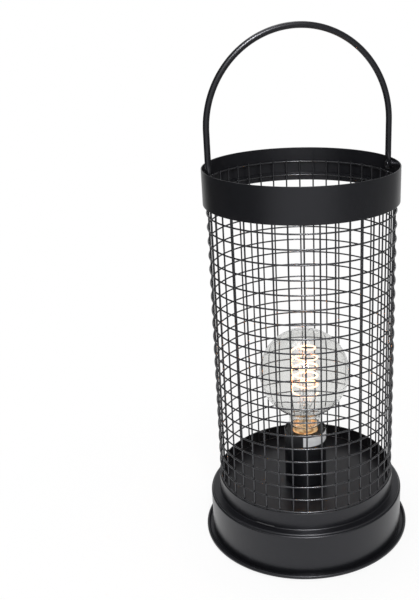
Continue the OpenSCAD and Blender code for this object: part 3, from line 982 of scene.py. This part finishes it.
@dataclass
class Cage(Part):
    """The cage of welded wires and the band that closes its top."""

    hoops: int = 24
    hoop_r: float = 92.75 * MM
    low: float = 54.4 * MM
    step: float = 14.4 * MM
    weld_x: float = 12 * MM
    weld_r: float = 0.944 * MM
    uprights: int = 40
    upright_r: float = 91.3 * MM
    turn: float = 1.0
    foot: float = 53.6 * MM
    top: float = 388.0 * MM
    wire_r: float = 0.8 * MM
    nugget_r: float = 0.896 * MM
    band_in: float = 95.2 * MM
    band_out: float = 96.2 * MM
    band_low: float = 365.5 * MM
    band_top: float = 400 * MM
    hem_in: float = 93.4 * MM
    hem_top: float = 373.5 * MM
    hem_edge: float = 0.3 * MM
    seam_turn: float = -7.5
    seam_low: float = 373.1 * MM
    seam_high: float = 399 * MM
    seam_off: float = 0.05 * MM
    seam_sway: float = 0.12 * MM
    seam_r: float = 0.22 * MM
    seam_ripple: float = 0.05 * MM
    seam_rows: int = 12
    seam_wave: float = 2.1
    seam_ripples: float = 40.0
    hoop_chords: int = 160
    nugget_level: int = 2

    def rings(self) -> None:
        """The hoops, each with the bead of its butt weld at the back."""
        tree = Growth("cage_hoops")
        radius = tree.size("Hoop radius", self.hoop_r)
        wire = tree.size("Wire radius", self.wire_r)
        bead = tree.size("Bead radius", self.weld_r)
        count = tree.size("Hoops", self.hoops, "NodeSocketInt")
        sizes = {"Resolution": self.hoop_chords, "Radius": radius}
        circle = tree.node("GeometryNodeCurvePrimitiveCircle", sizes)
        knot = tree.node("GeometryNodeMeshUVSphere", {"Segments": 10, "Rings": 7, "Radius": bead})
        behind = (self.weld_x, math.sqrt(self.hoop_r**2 - self.weld_x**2), 0)
        hoop = tree.joined([tree.wire(circle, wire, sides=10), tree.moved(knot, Translation=behind)])
        placed = tree.spread(tree.column(count, self.low, self.step), hoop)
        mesh = tree.mesh("cage_rings", placed, self.looks.wire_paint, sharp=40)
        self.piece("cage_rings", mesh, "base", self.looks.wire_paint, ["cage_hoops"])

    def wires(self) -> None:
        """The upright wires, with a small nugget of weld at every crossing."""
        tree = Growth("cage_uprights")
        radius = tree.size("Circle radius", self.upright_r)
        wire = tree.size("Wire radius", self.wire_r)
        nugget = tree.size("Nugget radius", self.nugget_r)
        count = tree.size("Uprights", self.uprights, "NodeSocketInt")
        rows = tree.size("Hoops", self.hoops, "NodeSocketInt")
        circle = tree.node("GeometryNodeMeshCircle", {"Vertices": count, "Radius": radius})
        circle = tree.moved(circle, Rotation=(0, 0, math.radians(self.turn)))
        ends = {"Start": (0, 0, self.foot), "End": (0, 0, self.top)}
        line = tree.node("GeometryNodeCurvePrimitiveLine", ends)
        rods = tree.spread(circle, tree.wire(line, wire, sides=12))
        middle = (self.hoop_r + self.upright_r) / 2 / self.upright_r
        crossings = tree.moved(circle, Scale=(middle, middle, 1))
        grid = tree.real(tree.spread(crossings, tree.column(rows, self.low, self.step)))
        bead = tree.node("GeometryNodeMeshIcoSphere", {"Radius": nugget, "Subdivisions": self.nugget_level})
        result = tree.joined([rods, tree.spread(grid, bead)])
        mesh = tree.mesh("cage_wires", result, self.looks.wire_paint, sharp=60)
        self.piece("cage_wires", mesh, "base", self.looks.wire_paint, ["cage_uprights"])

    def band(self) -> None:
        """The rolled band with its hem and rounded rim."""
        a, b, e, f = self.band_in, self.band_out, (self.band_out - self.band_in) / 2, self.hem_edge
        profile = [
            *arc(self.hem_in + f, self.band_low + f, f, 180, 270, steps=3),
            *arc(b - f, self.band_low + f, f, 270, 360, steps=3),
            *arc(a + e, self.band_top - e, e, 0, 180, steps=10),
            (a, self.hem_top),
            *arc(self.hem_in + f, self.hem_top - f, f, 90, 180, steps=3),
        ]
        form = Form.lathe(profile, steps=256)
        self.piece("band", form, "base", self.looks.paint, ["top_band"], sharp=40)

    def seam(self) -> None:
        """The ground bead of the band's seam, inside it at the right."""
        rows = []
        for i in range(self.seam_rows + 1):
            z = self.seam_low + (self.seam_high - self.seam_low) * i / self.seam_rows
            sway = self.seam_sway * math.sin(i * self.seam_wave)
            rows.append(Vector((sway, self.band_in + self.seam_off, z)))

        def thickness(t: float) -> float:
            """The bead's radius at a share of its height."""
            return self.seam_r + self.seam_ripple * math.sin(self.seam_ripples * t)

        bead = Form.tube(rows, thickness, sides=8)
        turned = Form().add(bead, Matrix.Rotation(math.radians(self.seam_turn), 4, "Z"))
        self.piece("band_seam", turned, "base", self.looks.paint)

    def build(self) -> None:
        """Builds the cage and its band."""
        self.rings()
        self.wires()
        self.band()
        self.seam()


@dataclass
class Handle(Part):
    """The bail with its pins and spacers."""

    turn: float = 18.0
    pin_z: float = 394 * MM
    leg: float = 43 * MM
    bend_r: float = 91 * MM
    rod_r: float = 3 * MM
    flat_t: float = 3 * MM
    flat_w: float = 9 * MM
    flat_power: float = 3.5
    end_w: float = 0.2 * MM
    round_from: float = 13 * MM
    pin_r: float = 1.8 * MM
    pin_past: float = 0.5 * MM
    head_r: float = 3.5 * MM
    head_h: float = 1.2 * MM
    spacer_edge: float = 0.2 * MM
    play: float = 0.1 * MM
    wall: float = 95.2 * MM
    rod_sides: int = 32
    press_steps: int = 10
    leg_steps: int = 4
    bend_steps: int = 96
    # Rows of the rod's rounded end, in half widths over the pin
    end_rows: tuple[float, ...] = (-1.0, -0.97, -0.9, -0.78, -0.6, -0.4, -0.2, 0.0, 0.3, 0.6, 0.9)
    # The dome of a pin's head, in shares of its radius and height
    dome: tuple[Pair, ...] = ((0.0, 1.0), (0.45, 1.0), (0.8, 0.78), (0.97, 0.4))

    def place(self, side: int) -> Matrix:
        """The frame at one end of the pivot axis.

        Args:
            side: 1 for the right-hand end and -1 for the left.

        Returns:
            A matrix whose Z runs outwards along the axis, and whose origin is on the lamp's own axis.
        """
        angle = math.radians(self.turn + (0 if side > 0 else 180))
        lift = Matrix.Translation((0, 0, self.pin_z))
        return Matrix.Rotation(angle, 4, "Z") @ lift @ Matrix.Rotation(math.pi / 2, 4, "Y")

    def section(self, height: float) -> tuple[float, float, float]:
        """The rod's shape at a height over the pin.

        Args:
            height: The height.

        Returns:
            Its half thickness, its half width and its squareness, which is 2 where the rod is round.
        """
        half_t, half_w = self.flat_t / 2, self.flat_w / 2
        t = ease((height - half_w) / (self.round_from - half_w))
        thick = half_t + (self.rod_r - half_t) * t
        wide = half_w + (self.rod_r - half_w) * t
        if height < 0:
            wide = math.sqrt(max(0.0, half_w**2 - height**2))
        return thick, max(wide, self.end_w), 2 + self.flat_power * (1 - t)

    def ring(self, centre: Vector, out: Vector, height: float) -> list[Vector]:
        """One section of the rod.

        Args:
            centre: Its middle.
            out: The direction of its thickness.
            height: Its height over the pin, which sets how flat it is.

        Returns:
            The points.
        """
        thick, wide, power = self.section(height)
        across = Vector((0, 1, 0))
        points = []
        for k in range(self.rod_sides):
            a = 2 * math.pi * k / self.rod_sides
            c, s = math.cos(a), math.sin(a)
            u = math.copysign(abs(c) ** (2 / power), c)
            v = math.copysign(abs(s) ** (2 / power), s)
            points.append(centre + thick * u * out + wide * v * across)
        return points

    def bail(self) -> None:
        """The bent rod with its pressed ends."""
        half_w, press, legs, steps = self.flat_w / 2, self.press_steps, self.leg_steps, self.bend_steps
        heights = [h * half_w for h in self.end_rows]
        heights += [half_w + (self.round_from - half_w) * i / press for i in range(press + 1)]
        heights += [self.round_from + (self.leg - self.round_from) * i / legs for i in range(1, legs)]
        right, top = Vector((1, 0, 0)), Vector((0, 0, self.pin_z + self.leg))
        rings = [self.ring(Vector((self.bend_r, 0, self.pin_z + h)), right, h) for h in heights]
        for i in range(steps + 1):
            a = math.pi * i / steps
            out = Vector((math.cos(a), 0, math.sin(a)))
            rings.append(self.ring(top + self.bend_r * out, out, self.leg))
        rings += [self.ring(Vector((-self.bend_r, 0, self.pin_z + h)), -right, h) for h in reversed(heights)]
        form = Form().add(Form.rings(rings), Matrix.Rotation(math.radians(self.turn), 4, "Z"))
        self.piece("bail", form, "handle", self.looks.paint, ["handle_bail"], sharp=50)

    def pair(self, name: str, profile: Sequence[Pair], nodes: Sequence[str]) -> None:
        """Turns a profile about the pivot axis at both of its ends.

        Args:
            name: The piece's name.
            profile: The points (radius, distance from the lamp's axis).
            nodes: The nodes that it stands for.
        """
        one = Form.lathe(profile, steps=40)
        both = Form().add(one, self.place(1)).add(one, self.place(-1))
        self.piece(name, both, "base", self.looks.dull_zinc, nodes, sharp=40)

    def pins(self) -> None:
        """The two pivot pins with domed heads, and the spacers behind the rod's ends."""
        inner = self.bend_r - self.flat_t / 2 - self.play
        outer = self.bend_r + self.flat_t / 2 + self.play
        r, e, tip = self.head_r, self.spacer_edge, self.wall + self.pin_past
        head = [(r * x, inner - self.head_h * z) for x, z in self.dome]
        shank = [(r, inner), (self.pin_r, inner), (self.pin_r, tip), (0, tip)]
        self.pair("pivot_pins", [*head, *shank], ["pin_left", "pin_right"])
        end = math.sqrt(self.wall**2 - r**2)
        spacer = [(self.pin_r, outer), (r - e, outer), (r, outer + e), (r, end), (self.pin_r, end)]
        self.pair("pivot_spacers", spacer, ["spacer_left", "spacer_right"])

    def build(self) -> None:
        """Builds the handle."""
        self.bail()
        self.pins()


@dataclass
class Holder(Part):
    """The holder in its cup, with a rolled thread for the bulb."""

    shell_in: float = 13.5 * MM
    shell_t: float = 0.4 * MM
    shell_low: float = 95 * MM
    shell_high: float = 112 * MM
    run_in: float = 1.6 * MM
    run_out: float = 1.2 * MM
    depth: float = 0.85 * MM
    pitch: float = 3.629 * MM
    nipple_r: float = 5 * MM
    nipple_bore: float = 3.5 * MM
    nipple_low: float = 43.4 * MM
    nipple_high: float = 65.4 * MM
    nipple_pitch: float = 1 * MM
    nipple_depth: float = 0.5 * MM

    def inner(self, z: float, phase: float) -> float:
        """The radius of the screw shell's inside, where the thread runs out at both ends.

        Args:
            z: The height.
            phase: The phase of the thread.

        Returns:
            The radius.
        """
        full = ease((self.shell_high - z) / self.run_in) * ease((z - self.shell_low) / self.run_out)
        return self.shell_in - full * self.depth * rolled_groove(phase)

    def thread(self) -> None:
        """The shell that takes the cap: a sheet rolled to a round thread."""
        skins = [lambda z, phase: self.inner(z, phase) + self.shell_t, self.inner]
        form = Form.screw(skins, self.shell_low, self.shell_high, self.pitch, sides=96)
        self.piece("socket_thread", form, "base", self.looks.brass, ["screw_shell"])

    def nipple(self) -> None:
        """The tube under the holder, with a fine cut thread."""
        skins = [
            lambda z, phase: self.nipple_r - self.nipple_depth * cut_groove(phase),
            lambda z, phase: self.nipple_bore,
        ]
        form = Form.screw(skins, self.nipple_low, self.nipple_high, self.nipple_pitch, sides=40)
        self.piece("threaded_nipple", form, "base", self.looks.zinc, ["nipple"])

    def build(self) -> None:
        """Builds and dresses the holder."""
        self.dress(self.looks.paint, "holder_cup")
        self.dress(self.looks.moulding, "holder_body")
        self.dress(self.looks.brass, "centre_contact")
        self.dress(self.looks.zinc, "nipple_washer", "nipple_nut")
        self.dress(self.looks.sticker, "holder_label")
        self.thread()
        self.nipple()


@dataclass
class Bulb(Part):
    """The globe bulb: glass, cap, stem, wires and filament."""

    cap_low: float = 99.5 * MM
    cap_top: float = 120 * MM
    cap_r: float = 13.2 * MM
    cap_t: float = 0.4 * MM
    cap_bevel: float = 1 * MM
    bevel_h: float = 1.2 * MM
    skirt_h: float = 4.5 * MM
    skirt_fade: float = 1.5 * MM
    pitch: float = 3.629 * MM
    depth: float = 0.85 * MM
    globe_z: float = 180.2 * MM
    globe_r: float = 47.5 * MM
    neck_r: float = 17.3 * MM
    fillet_r: float = 10 * MM
    glass_t: float = 0.8 * MM
    throat_r: float = 12.5 * MM
    throat_low: float = 109.75 * MM
    flare_r: float = 3 * MM
    flare_from: float = -60.0
    stem_r: float = 6 * MM
    stem_top: float = 144 * MM
    stem_foot: float = 103.75 * MM
    rod_r: float = 1.2 * MM
    rod_sink: float = 0.4 * MM
    exhaust_in: float = 1.2 * MM
    exhaust_out: float = 2 * MM
    exhaust_low: float = 104.75 * MM
    coil_r: float = 14 * MM
    coil_top_r: float = 5 * MM
    coil_turns: float = 5.5
    coil_step: float = 10.4 * MM
    coil_low: float = 155.7 * MM
    coil_chords: int = 48
    filament_r: float = 0.9 * MM
    lead_r: float = 0.45 * MM
    lead_in: float = 5.1 * MM
    support_r: float = 0.225 * MM
    grip: float = 0.2 * MM
    loop_step: float = 24.0
    loop_points: int = 13

    def wall(self, t: float) -> list[Pair]:
        """One side of the globe's wall.

        Args:
            t: Its distance in from the outer face.

        Returns:
            The points, from the throat to the top.
        """
        x = self.neck_r + self.fillet_r
        z = self.globe_z - math.sqrt((self.globe_r + self.fillet_r) ** 2 - x**2)
        join = math.degrees(math.atan2(z - self.globe_z, x))
        flare_z = self.cap_top + self.flare_r
        side = [(self.throat_r - t, self.throat_low), (self.throat_r - t, self.cap_top + t)]
        side += arc(self.neck_r - self.flare_r, flare_z, self.flare_r - t, self.flare_from, 0, steps=8)
        side += arc(x, z, self.fillet_r + t, 180, 180 + join, steps=20)
        side += arc(0, self.globe_z, self.globe_r - t, join, 90, steps=72)[1:-1]
        return [*side, (0.0, self.globe_z + self.globe_r - t)]

    def globe(self) -> None:
        """The blown glass with both its walls."""
        form = Form.lathe([*self.wall(0), *reversed(self.wall(self.glass_t))], steps=160)
        self.piece("globe", form, "bulb", self.looks.glass, ["bulb_glass"])

    def outer(self, z: float, phase: float) -> float:
        """The radius of the cap's outside, plain above its thread and narrower at its foot.

        Args:
            z: The height.
            phase: The phase of the thread.

        Returns:
            The radius.
        """
        threaded = ease((self.cap_top - self.skirt_h - z) / self.skirt_fade)
        groove = self.depth * threaded * rolled_groove(phase)
        foot = ease((z - self.cap_low) / self.bevel_h)
        return self.cap_r - self.cap_bevel + (self.cap_bevel - groove) * foot

    def cap(self) -> None:
        """The cap with its rolled thread."""
        skins = [self.outer, lambda z, phase: self.outer(z, phase) - self.cap_t]
        form = Form.screw(skins, self.cap_low, self.cap_top, self.pitch, sides=96)
        # The cap's brass gives off a painted glow, standing for the filament's light on it
        self.piece("cap_thread", form, "bulb", self.looks.glow_painted_brass, ["bulb_cap"])

    def stem_side(self, t: float) -> list[Pair]:
        """One side of the stem's wall.

        Args:
            t: Its distance in from the outer face.

        Returns:
            The points, from the flared foot to the top.
        """
        out = self.cap_r - self.cap_t
        flare = arc(out, self.stem_foot + out - self.stem_r, out - self.stem_r + t, 270, 180, steps=10)
        dome = arc(0, self.stem_top - self.stem_r, self.stem_r - t, 0, 90, steps=14)
        return [*flare, *dome[:-1], (0.0, self.stem_top - t)]

    def stem(self) -> None:
        """The stem with its flare, the rod that carries the supports and the exhaust tube."""
        form = Form.lathe([*self.stem_side(0), *reversed(self.stem_side(self.glass_t))], steps=64)
        high = self.coil_low + self.coil_turns * self.coil_step
        r, low = self.rod_r, self.stem_top - self.rod_sink
        tip = arc(0, high - r, r, 0, 80, steps=5)
        form.add(Form.lathe([(0.0, low), (r, low), (r, high - r), *tip, (0.0, high)], steps=24))
        a, b, end = self.exhaust_in, self.exhaust_out, self.stem_top - self.stem_r
        tube = [(a, self.exhaust_low), (b, self.exhaust_low), (b, end), (a, end)]
        form.add(Form.lathe(tube, steps=24))
        self.piece("stem", form, "bulb", self.looks.stem_glass, ["bulb_stem"])

    def coil_at(self, turn: float) -> Vector:
        """The point of the filament after so many turns, of which the last closes in.

        Args:
            turn: The number of turns.

        Returns:
            The point.
        """
        shut = max(0.0, turn - self.coil_turns + 1)
        r = self.coil_r + (self.coil_top_r - self.coil_r) * shut**2
        return polar(r, -2 * math.pi * turn, self.coil_low + self.coil_step * turn)

    def filament(self) -> None:
        """The wound filament."""
        steps = int(self.coil_turns * self.coil_chords)
        path = [self.coil_at(self.coil_turns * i / steps) for i in range(steps + 1)]
        form = Form.tube(path, self.filament_r, sides=10)
        self.piece("wound_filament", form, "bulb", self.looks.glow, ["filament"])

    def support(self, held: Vector) -> Form:
        """A support wire from the rod, with a small loop round the filament.

        Args:
            held: The point of the filament that it holds.

        Returns:
            The wire.
        """
        hub = Vector((0, 0, held.z))
        angles = [math.radians(180 - self.loop_step * i) for i in range(self.loop_points)]
        reach = self.filament_r + self.grip
        loop = [held + reach * Vector((math.cos(a), 0, math.sin(a))) for a in angles]
        return Form.tube([hub, (hub + loop[0]) / 2, *loop], self.support_r, sides=8)

    def wires(self) -> None:
        """The two lead wires and the supports."""
        root = self.stem_top - self.stem_r
        leads = ((self.lead_in, self.coil_at(0)), (-self.coil_top_r, self.coil_at(self.coil_turns)))
        form = Form()
        for x, end in leads:
            start = Vector((x, 0, root))
            form.add(Form.tube([start, (start + end) / 2, end], self.lead_r, sides=10))
        for turn in range(1, int(self.coil_turns), 2):
            form.add(self.support(self.coil_at(turn)))
        self.piece("support_wires", form, "bulb", self.looks.steel_wire, ["lead_wires"])

    def build(self) -> None:
        """Builds and dresses the bulb."""
        self.dress(self.looks.black_glass, "cap_insulator")
        self.dress(self.looks.solder, "cap_contact")
        self.globe()
        self.cap()
        self.stem()
        self.filament()
        self.wires()


# ---- The studio ----


class Reach(Enum):
    """Which pieces a lamp that is linked with some of them falls on."""

    ONLY = "INCLUDE"
    PAST = "EXCLUDE"


@dataclass(frozen=True)
class Softbox:
    """A square lamp that faces the middle of the part."""

    name: str
    place: Point
    side: float
    power: float
    aim: Point = (0.0, 0.0, 200 * MM)

    def light(self) -> bpy.types.Object:
        """Puts the lamp in its place.

        Returns:
            The lamp.
        """
        data = bpy.data.lights.new(self.name, "AREA")
        data.shape = "RECTANGLE"
        data.size = data.size_y = self.side
        data.energy = self.power
        made = put(self.name, data)
        way = Vector(self.aim) - Vector(self.place)
        turn = way.to_track_quat("-Z", "Y").to_matrix().to_4x4()
        made.matrix_world = Matrix.Translation(self.place) @ turn
        return made


@dataclass
class Studio:
    """The camera, the surround, the floor and the lamps."""

    # The photograph's size, focal length and optical centre, in its pixels
    width: int = 419
    height: int = 600
    focal: float = 854.6
    middle: Pair = (303.4, 314.65)
    # The camera's angles in degrees, and its distance from a point on the lamp's axis
    pitch: float = 21.08
    roll: float = -0.90
    distance: float = 878.5 * MM
    target: float = 245.35 * MM
    film: float = 24.0
    clip: Pair = (0.01, 100.0)
    # The light of the surround, and how bright its panels look in a reflection
    ambient: float = 0.5
    front_level: float = 0.8
    front_span: Pair = (0.6, 1.0)
    back_level: float = 0.88
    back_span: Pair = (0.65, 0.98)
    back_fade: float = 0.65
    back_rise: Pair = (0.2, 0.6)
    side_dim: float = 0.08
    side_pale: float = 0.3
    side_span: Pair = (-0.5, 0.5)
    # The floor: half its width, its ends, the bend behind it and its tones
    floor_half: float = 9.0
    floor_front: float = -6.0
    floor_back: float = 9.0
    bend_r: float = 1.5
    bend_turns: tuple[float, ...] = (0.4, 0.8, 1.2)
    wall_top: float = 6.0
    floor_tone: float = 0.9
    floor_white: float = 0.85
    shade_span: Pair = (0.16, 0.42)
    near_span: Pair = (0.66, 0.3)
    # The lamps
    key: Softbox = Softbox("key", (0.15, -1.6, 1.8), 0.55, 30.0)
    top: Softbox = Softbox("top", (-0.3, 0.6, 2.2), 1.4, 14.0)
    wire_gleam: Softbox = Softbox("wire_gleam", (0.08, -1.5, 1.9), 0.3, 30.0)
    edge_gleam: Softbox = Softbox("edge_gleam", (0.08, -1.5, 1.9), 0.3, 62.0)
    # The filament's own light
    warm: Colour = (1.0, 0.5, 0.2)
    warmth: float = 0.22
    warm_r: float = 12 * MM
    warm_z: float = 182 * MM

    def camera(self) -> None:
        """The camera at the photograph's viewing angle, with the shift of its framing."""
        data = bpy.data.cameras.new("camera")
        data.sensor_fit = "VERTICAL"
        data.sensor_height = self.film
        data.lens = self.focal / self.height * self.film
        data.shift_x = (self.width / 2 - self.middle[0]) / self.height
        data.shift_y = (self.middle[1] - self.height / 2) / self.height
        data.clip_start, data.clip_end = self.clip
        made = put("camera", data)
        tilt, roll = math.radians(self.pitch), math.radians(self.roll)
        ahead = Vector((0, math.cos(tilt), -math.sin(tilt)))
        up = Vector((0, math.sin(tilt), math.cos(tilt)))
        right = Vector((1, 0, 0))
        x = math.cos(roll) * right + math.sin(roll) * up
        y = -math.sin(roll) * right + math.cos(roll) * up
        turn = Matrix((x, y, -ahead)).transposed().to_4x4()
        made.matrix_world = Matrix.Translation(Vector((0, 0, self.target)) - self.distance * ahead) @ turn
        bpy.context.scene.camera = made

    def panels(self, shade: Shader, x: Value, y: Value, rise: Value | None = None) -> Value:
        """How bright the studio looks in a reflection.

        Args:
            shade: The tree that the value is made in.
            x, y: The direction from the lamp, seen from above.
            rise: The upward part of that direction, of length 1, which dims the back.

        Returns:
            The brightness: pale before and behind the lamp, dim at its sides.
        """
        ahead = (y * -1.0).math("DIVIDE", (x * x + y * y + TINY).math("SQRT"))
        front = shade.ramp(ahead, self.front_span)
        back = shade.ramp(ahead * -1.0, self.back_span)
        if rise is not None:
            back = back * (1 - self.back_fade * shade.ramp(rise, self.back_rise))
        side = self.side_dim + (self.side_pale - self.side_dim) * shade.ramp(x, self.side_span)
        return side + (self.front_level - side) * front + (self.back_level - side) * back

    @staticmethod
    def backdrop(shade: Shader, kind: str, seen: Value, level: Value, plain: Value) -> Value:
        """A surface that is white to the eye and shows the panels in reflections.

        Args:
            shade: The tree that it is made in.
            kind: The type of node that gives light.
            seen: How white it is, on the rays that see it.
            level: How bright it is in a reflection.
            plain: What it is to other light.

        Returns:
            The surface.
        """
        dark = shade.node(kind, {}, {"Strength": 0.0})
        white = shade.node(kind, {}, {"Color": rgba(WHITE), "Strength": 1.0})
        other = shade.blend(shade.rays("Glossy"), plain, shade.blend(level, dark, white))
        return shade.blend(seen, other, white)

    def world(self) -> None:
        """A pale surround, white where it is seen directly or through glass."""
        world = bpy.data.worlds.new("surround")
        bpy.context.scene.world = world
        shade = Shader(world)
        kind = "ShaderNodeBackground"
        level = self.panels(shade, *shade.split(shade.place("Generated")))
        plain = shade.node(kind, {}, {"Color": rgba(WHITE), "Strength": self.ambient})
        surface = self.backdrop(shade, kind, shade.rays("Camera", "Transmission"), level, plain)
        shade.end(surface, "ShaderNodeOutputWorld")

    def floor(self) -> None:
        """A pale floor that keeps the lamp's shadow and runs up into a backdrop far behind."""
        r, back = self.bend_r, self.floor_back
        bend = [(back + r * math.sin(a), r - r * math.cos(a)) for a in self.bend_turns]
        rows = [(self.floor_front, 0.0), (back, 0.0), *bend, (back + r, self.wall_top)]
        form = Form([Vector((x, y, z)) for y, z in rows for x in (-self.floor_half, self.floor_half)])
        form.faces = [(2 * i, 2 * i + 1, 2 * i + 3, 2 * i + 2) for i in range(len(rows) - 1)]
        floor = put("floor", form.mesh("floor", sharp=180))
        shade = Shader.named("pale_floor")
        x, y, _ = shade.split(shade.place())
        reach = (x * x + y * y).math("SQRT")
        white = self.floor_white + (1 - self.floor_white) * shade.ramp(reach, self.shade_span)
        level = self.panels(shade, x, y)
        level = level + (1 - level) * shade.ramp(reach, self.near_span)
        plain = shade.node("ShaderNodeBsdfDiffuse", {}, {"Color": rgba((self.floor_tone,) * 3)})
        seen = shade.rays("Camera", "Transmission") * white
        surface = self.backdrop(shade, "ShaderNodeEmission", seen, level, plain)
        floor.data.materials.append(shade.end(surface))

    def bulb_light(self) -> bpy.types.Object:
        """The warm light of the filament, for what stands round it.

        Returns:
            The light.
        """
        data = bpy.data.lights.new("bulb_light", "POINT")
        data.color = self.warm
        data.energy = self.warmth
        data.shadow_soft_size = self.warm_r
        made = put("bulb_light", data)
        made.location = (0, 0, self.warm_z)
        made.visible_camera = False
        made.visible_transmission = False
        return made

    @staticmethod
    def link(light: bpy.types.Object, reach: Reach, *names: str) -> None:
        """Sets which pieces a lamp falls on.

        Args:
            light: The lamp.
            reach: Whether it falls on these only, or on all but these.
            names: The pieces' names.
        """
        pieces = bpy.data.collections.new(f"{light.name}_pieces")
        for name in names:
            pieces.objects.link(bpy.data.objects[name])
        light.light_linking.receiver_collection = pieces
        for entry in pieces.collection_objects:
            entry.light_linking.link_state = reach.value

    def build(self) -> None:
        """Sets up the studio, but for the lamps that are linked with pieces."""
        self.camera()
        self.world()
        self.floor()
        self.key.light()
        self.top.light()
        bpy.context.scene.view_settings.view_transform = "Standard"

    def light_pieces(self) -> None:
        """Adds the lamps that fall on some pieces only, once the pieces are made.

        The filament's light leaves out the bulb's clear pieces and the holder's body. The two
        gleams show only as a shine.
        """
        self.link(self.bulb_light(), Reach.PAST, "globe", "stem", "holder_body")
        wires, edge = self.wire_gleam.light(), self.edge_gleam.light()
        wires.visible_diffuse = edge.visible_diffuse = False
        self.link(wires, Reach.PAST, "band", "band_seam")
        self.link(edge, Reach.ONLY, "base_shell")


def main() -> None:
    """Builds the studio and the lamp."""
    logging.basicConfig(level=logging.INFO, format="%(name)s: %(message)s")
    looks = Finishes()
    studio = Studio()
    studio.build()
    for part in (Base(looks), Cage(looks), Handle(looks), Holder(looks), Bulb(looks)):
        LOG.info("building %s", type(part).__name__)
        part.build()
    studio.light_pieces()


if __name__ == "__main__":
    main()
